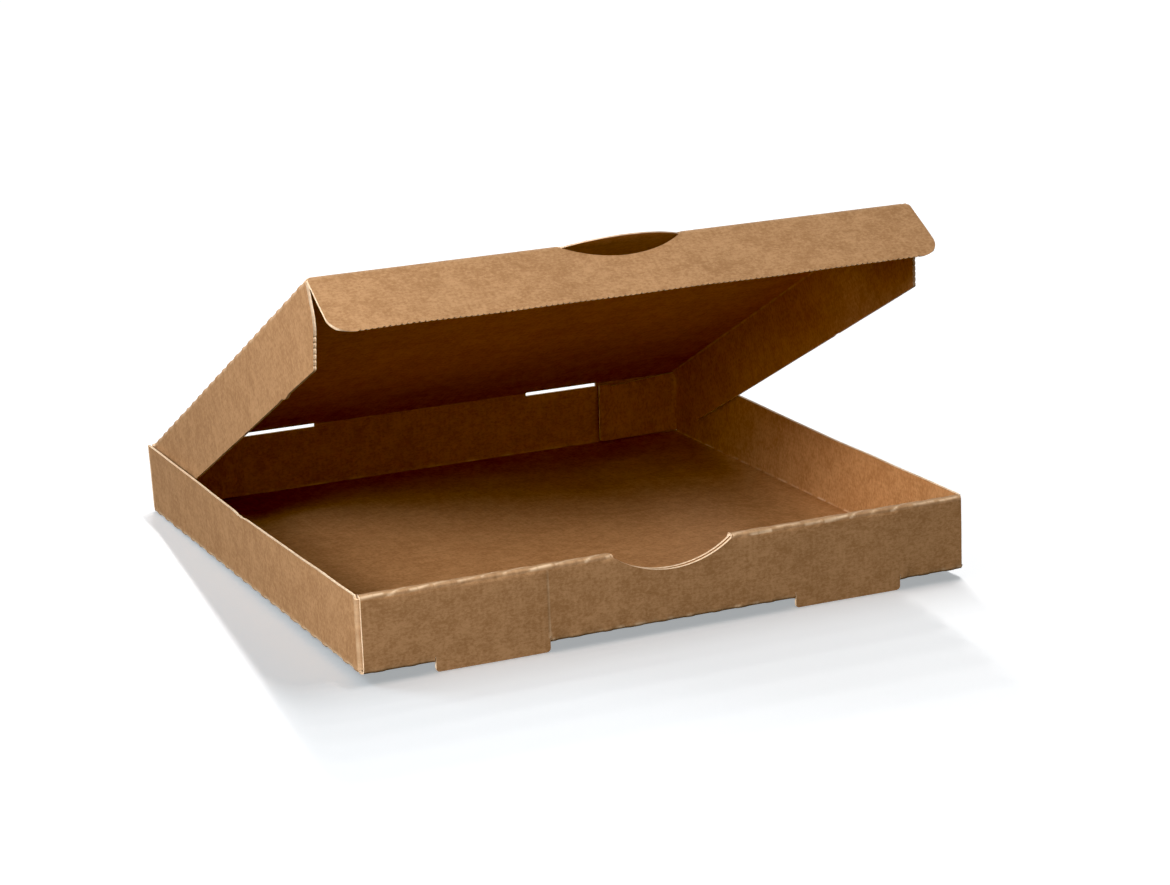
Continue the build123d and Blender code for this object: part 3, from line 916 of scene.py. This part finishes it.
def side_flap(name, node, side, nick, tip):
    cut_seed = 91 if side < 0 else 95

    def fold(p, n):
        t, s = p[:, 0], p[:, 1]
        near = np.exp(-((t - 0.5 * (G1 + G2)) / 1.1) ** 2)
        cut = dashes(s - 175, 14.5, 0.66, cut_seed)
        ends = ease(5, 12, s) * (1 - ease(338, 345, s))
        nn = n * (1 - 0.10 * near) + n / T * near * ends * (0.21 * (1 - cut) - 0.20 * cut)
        xh = chain(t, nn, (x_seam, 0.0), 0.0, -1, SIDE_CHAIN)
        b = ease(4, 22, t) * 0.12 * ripple(s, t, 97 + side, 110)
        return stood(lid_frame(side * (xh[:, 0] - np.abs(b)), s, xh[:, 1]))

    def wear(p, n):
        cut = dashes(p[:, 1] - 175, 14.5, 0.66, cut_seed)
        return (0.12 + 0.30 * cut) * np.exp(-((p[:, 0] - 0.5 * (G1 + G2)) / 0.8) ** 2)

    front = rounded([(GW(0.0), s_b + 0.4), (GW(22.0), 345.4), (GW(43.0), tip), (GW(38.2), 20.0), (GW(0.0), 4.0)], {1: 20.0, 2: 1.5, 3: 2.0})
    # the lower half of the front edge has die teeth
    pts, k = [], 0
    for i, p in enumerate(front[:-1]):
        q = front[i + 1]
        if p[0] > GW(24) and q[1] > tip - 1.5 and p[1] > tip - 1.0 and math.hypot(q[0] - p[0], q[1] - p[1]) > 5:
            pts += teeth(p, q, FLUTE, -0.6, (0.43, 0.9))[:-1]
        else:
            pts.append(p)
    pts.append(front[-1])
    # small tag or nick left by the die on the lower edge
    low = [i for i, p in enumerate(pts[:-1]) if p[1] > 300 and pts[i + 1][1] < 60][0]
    a, b = np.array(pts[low]), np.array(pts[low + 1])
    at_s = lambda s: a + (b - a) * (a[1] - s) / (a[1] - b[1])
    bump = []
    for s, up in nick:
        q = at_s(s)
        bump.append((q[0] + up, q[1]))
    pts = pts[:low + 1] + bump + pts[low + 1:]
    loop = kinds([(0.0, s_a)], "cap") + kinds([(0.0, s_b)] + pts, "cut")
    board = Board(name)
    rows = [lattice(np.arange(6.0, 345.0, 1.6), steps(G1, G2, 8) + [G2 + 0.6, G2 + 1.3, G2 + 2.4], 1)]
    board.panel([loop], fold, rows=rows, levels=((0, steps(G1, G2, 8)),), spacing=4.5, wear=wear, shift=(LID_X * 1.0 + 37 * side, 2 * YP + H), flip_blank=(1, 1))
    obj = board.build(MATS)
    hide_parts(node)
    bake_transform(obj)
    return obj


side_flap("left_flap_board", "lid_left_flap", -1, [(281, -0.1), (279, 0.4), (275.5, 0.92), (272, 0.85), (270.5, 0.2), (269.5, -0.35), (264, -0.3), (258, 0.0)], 329.5)
side_flap("right_flap_board", "lid_right_flap", 1, [(236, 0.0), (234, -0.4), (231, -0.3), (229.5, 0.05)], 335.0)

# ---- stage: floor, light, camera --------------------------------------------------
def pale_floor():
    rings = [(0.0, 0.0), (0.6, 0.0), (1.5, 0.0), (3.0, 0.0), (5.0, 0.0), (6.2, 0.06), (7.2, 0.35), (7.9, 0.9), (8.3, 1.8), (8.45, 3.2), (8.5, 5.0)]
    verts, faces, k = [(0, 0, -0.0002)], [], 96
    for r, z in rings[1:]:
        verts += [(r * math.cos(2 * math.pi * i / k), r * math.sin(2 * math.pi * i / k), z - 0.0002) for i in range(k)]
    for i in range(k):
        faces.append((0, 1 + i, 1 + (i + 1) % k))
    for j in range(len(rings) - 2):
        a, b = 1 + j * k, 1 + (j + 1) * k
        faces += [(a + i, b + i, b + (i + 1) % k, a + (i + 1) % k) for i in range(k)]
    mesh = bpy.data.meshes.new("studio_floor")
    mesh.from_pydata(verts, [], faces)
    mesh.polygons.foreach_set("use_smooth", np.ones(len(faces), bool))
    m = bpy.data.materials.new("studio_white")
    m.use_nodes = True
    b = m.node_tree.nodes["Principled BSDF"]
    b.inputs["Base Color"].default_value = (0.86, 0.86, 0.86, 1)
    b.inputs["Roughness"].default_value = 0.95
    b.inputs["Specular IOR Level"].default_value = 0.0
    b.inputs["Emission Color"].default_value = (0.935, 0.97, 1, 1)
    b.inputs["Emission Strength"].default_value = 0.40
    mesh.materials.append(m)
    obj = bpy.data.objects.new("studio_floor", mesh)
    bpy.context.scene.collection.objects.link(obj)
    return obj


floor = pale_floor()


def area(name, loc, aim, size, power, colour=(1, 1, 1)):
    d = bpy.data.lights.new(name, "AREA")
    d.shape = "RECTANGLE"
    d.size, d.size_y = size
    d.energy = power
    d.color = colour
    o = bpy.data.objects.new(name, d)
    o.location = loc
    o.rotation_mode = "QUATERNION"
    o.rotation_quaternion = (Vector(aim) - Vector(loc)).to_track_quat("-Z", "Y")
    bpy.context.scene.collection.objects.link(o)
    return o


POWER = {"key": 15.0, "high": 10.5, "near": 4.3, "front": 4.9, "over": 14.5, "low": 4.6, "behind": 15.0, "right": 13.0, "short": 0.17, "long": 0.18, "dome": 80.0, "side": 15.0, "world": 0.004}

# the box's own lights leave the floor alone, and the floor's lights leave the box alone
box_group = bpy.data.collections.new("lit_box")
floor_group = bpy.data.collections.new("lit_floor")
for name in ("tray_board", "lid_board", "front_flap_board", "left_flap_board", "right_flap_board"):
    box_group.objects.link(bpy.data.objects[name])
floor_group.objects.link(floor)

WARM = (1.0, 0.66, 0.43)
middle = (0, -0.05, 0.07)
for o in (area("key_left", (-1.5, -0.75, 0.75), middle, (0.5, 0.5), POWER["key"]),
          area("front_left_high", (-0.8, -1.2, 1.22), middle, (0.5, 0.5), POWER["high"]),
          area("near_left", (-0.93, -0.4, 0.6), middle, (0.3, 0.3), POWER["near"]),
          area("fill_front", (-0.3, -2.2, 0.76), middle, (1.4, 0.7), POWER["front"], WARM),
          area("soft_above", (0.1, -0.3, 1.9), middle, (1.2, 1.2), POWER["over"]),
          area("low_left", (-1.9, -0.9, 0.3), middle, (0.8, 0.4), POWER["low"], WARM),
          area("fill_behind", (-0.4, 2.2, 1.0), middle, (1.2, 0.8), POWER["behind"]),
          area("fill_right", (1.75, 1.35, 0.75), middle, (1.0, 0.6), POWER["right"])):
    o.light_linking.receiver_collection = box_group
dome = area("floor_dome", (1.2, 2.4, 4.0), (1.2, 2.401, 0), (9.0, 9.0), POWER["dome"])
dome.light_linking.receiver_collection = floor_group
side = area("floor_side", (-1.5, 1.5, 1.5), middle, (0.8, 0.8), POWER["side"], (0.78, 0.9, 1.0))
side.light_linking.receiver_collection = floor_group
for i, back in enumerate([0.02, 0.07, 0.12, 0.17, 0.22, 0.27, 0.36, 0.50, 0.65, 0.82, 1.00, 1.20]):
    d = bpy.data.lights.new("back_strip_%d" % i, "SUN")
    d.energy = POWER["short"] if back < 0.3 else POWER["long"]
    d.angle = math.radians(1.5)
    o = bpy.data.objects.new("back_strip_%d" % i, d)
    o.rotation_mode = "QUATERNION"
    o.rotation_quaternion = Vector((-0.20 - 0.133 * back, -back, -1.0)).to_track_quat("-Z", "Y")
    o.light_linking.receiver_collection = floor_group
    bpy.context.scene.collection.objects.link(o)
floor.visible_diffuse = False

world = bpy.data.worlds.new("studio")
world.use_nodes = True
world.node_tree.nodes["Background"].inputs[0].default_value = (1, 1, 1, 1)
world.node_tree.nodes["Background"].inputs[1].default_value = POWER["world"]
bpy.context.scene.world = world
bpy.context.scene.view_settings.view_transform = "Standard"
bpy.context.scene.view_settings.look = "None"
# the photograph's deep shadows: a slightly raised black point
bpy.context.scene.view_settings.use_curve_mapping = True
bpy.context.scene.view_settings.curve_mapping.black_level = (0.015, 0.0075, 0.009)
bpy.context.scene.view_settings.curve_mapping.update()

az, el, roll = math.radians(-23.719), math.radians(15.127), math.radians(-2.086)
dist, f_px = 1.826549, 3136.449
aim = Vector((0.031872, 0.0, 0.055805))
back = Vector((math.sin(az) * math.cos(el), -math.cos(az) * math.cos(el), math.sin(el)))
right = (-back).cross(Vector((0, 0, 1))).normalized()
upv = right.cross(-back)
right2 = math.cos(roll) * right + math.sin(roll) * upv
up2 = -math.sin(roll) * right + math.cos(roll) * upv
cam = bpy.data.cameras.new("camera")
cam.sensor_width = 36.0
cam.sensor_fit = "HORIZONTAL"
cam.lens = f_px / 1170.0 * 36.0
cam.clip_start, cam.clip_end = 0.05, 60.0
cam_o = bpy.data.objects.new("camera", cam)
rot = Matrix((right2, up2, back)).transposed().to_4x4()
cam_o.matrix_world = Matrix.Translation(aim + back * dist) @ rot
bpy.context.scene.collection.objects.link(cam_o)
bpy.context.scene.camera = cam_o
